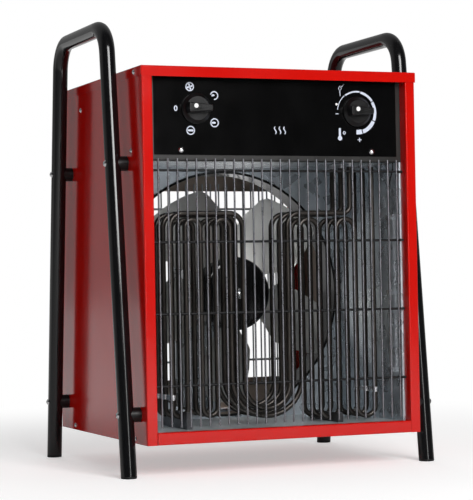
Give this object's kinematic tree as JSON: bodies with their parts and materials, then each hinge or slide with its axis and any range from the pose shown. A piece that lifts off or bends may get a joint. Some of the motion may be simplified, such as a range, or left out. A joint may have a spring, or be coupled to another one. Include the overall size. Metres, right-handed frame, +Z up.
{
  "type": "fan heater",
  "caption": "Free-standing electric fan heater: sheet casing between two bent tube carrying frames, wire grille, serpentine elements, axial fan, control panel with two knobs and a reset button.",
  "frame": {"origin": "floor level under the middle of the bounding box", "axes": "+Z up; the hot air leaves towards -Y, where the grille and the control panel are; +X is to the right for a viewer who faces the front"},
  "size_m": [0.5426, 0.4794, 0.714],
  "materials": {
    "red_paint": "semi-gloss powder coat",
    "black_paint": "gloss",
    "black_plastic": "satin",
    "zinc_sheet": "zinc coated",
    "grey_paint": "satin",
    "bright_steel": "bright",
    "element_sheath": "oxidised",
    "aluminium": "satin",
    "copper_alloy": "satin",
    "grey_plastic": "matt",
    "white_plastic": "gloss"
  },
  "bodies": {
    "heater": {"side_panel_left": "red_paint", "side_panel_right": "red_paint", "top_cover": "red_paint", "base_pan": "red_paint", "rear_panel": "red_paint", "control_carrier": "grey_paint", "control_plate": "black_paint", "duct_roof": "zinc_sheet", "fan_bulkhead": "zinc_sheet", "fan_ring": "black_paint", "duct_wall_left": "zinc_sheet", "duct_wall_right": "zinc_sheet", "duct_floor": "zinc_sheet", "front_grille": "black_paint", "rear_grille": "zinc_sheet", "case_screws": "bright_steel", "panel_screws": "black_paint", "tube_frame_left": "black_paint", "tube_frame_right": "black_paint", "foot_caps": "black_plastic", "frame_spacers": "black_plastic", "frame_bolts": "bright_steel", "frame_nuts": "bright_steel", "heating_element_front": "element_sheath", "heating_element_middle": "element_sheath", "heating_element_rear": "element_sheath", "element_ferrules": "bright_steel", "element_nuts": "bright_steel", "element_terminals": "copper_alloy", "element_combs": "zinc_sheet", "element_clips": "bright_steel", "motor_stator": "bright_steel", "motor_front_shell": "black_paint", "motor_rear_shell": "black_paint", "motor_bearings": "bright_steel", "motor_bracket": "zinc_sheet", "motor_screws": "bright_steel", "start_capacitor": "aluminium", "rotary_switch": "grey_plastic", "thermostat_body": "bright_steel", "capillary_tube": "copper_alloy", "sensor_bulb": "copper_alloy", "bulb_clips": "bright_steel", "thermal_cutout": "black_plastic", "contactor": "grey_plastic", "terminal_block": "grey_plastic", "cable_gland": "black_plastic", "gland_nut": "black_plastic"},
    "fan": {"fan_hub": "black_paint", "fan_blades": "aluminium", "fan_nut": "bright_steel", "motor_shaft": "bright_steel", "motor_rotor": "bright_steel"},
    "switch_control": {"switch_shaft": "bright_steel", "switch_knob": "black_plastic"},
    "thermostat_control": {"thermostat_shaft": "bright_steel", "thermostat_knob": "black_plastic"},
    "reset": {"reset_button": "white_plastic", "reset_spring": "bright_steel"},
    "armature": {"contactor_armature": "black_plastic"}
  },
  "joints": [
    {"name": "fan_spin", "type": "hinge", "parent": "heater", "child": "fan", "pos_m": [0, 0.00175, 0.277], "axis": [0, 1, 0], "continuous": true},
    {"name": "switch_turn", "type": "hinge", "parent": "heater", "child": "switch_control", "pos_m": [-0.138, -0.22425, 0.5668], "axis": [0, 1, 0], "range_deg": [0, 288]},
    {"name": "thermostat_turn", "type": "hinge", "parent": "heater", "child": "thermostat_control", "pos_m": [0.138, -0.22425, 0.5668], "axis": [0, 1, 0], "range_deg": [0, 270]},
    {"name": "reset_press", "type": "slide", "parent": "heater", "child": "reset", "axis": [0, 1, 0], "range_m": [0, 0.002], "stiffness_N_per_m": 500, "springref_m": -0.002, "deforming": ["reset_spring"]},
    {"name": "armature_press", "type": "slide", "parent": "heater", "child": "armature", "axis": [0, 0, -1], "range_m": [0, 0.004], "stiffness_N_per_m": 200, "springref_m": -0.004}
  ]
}
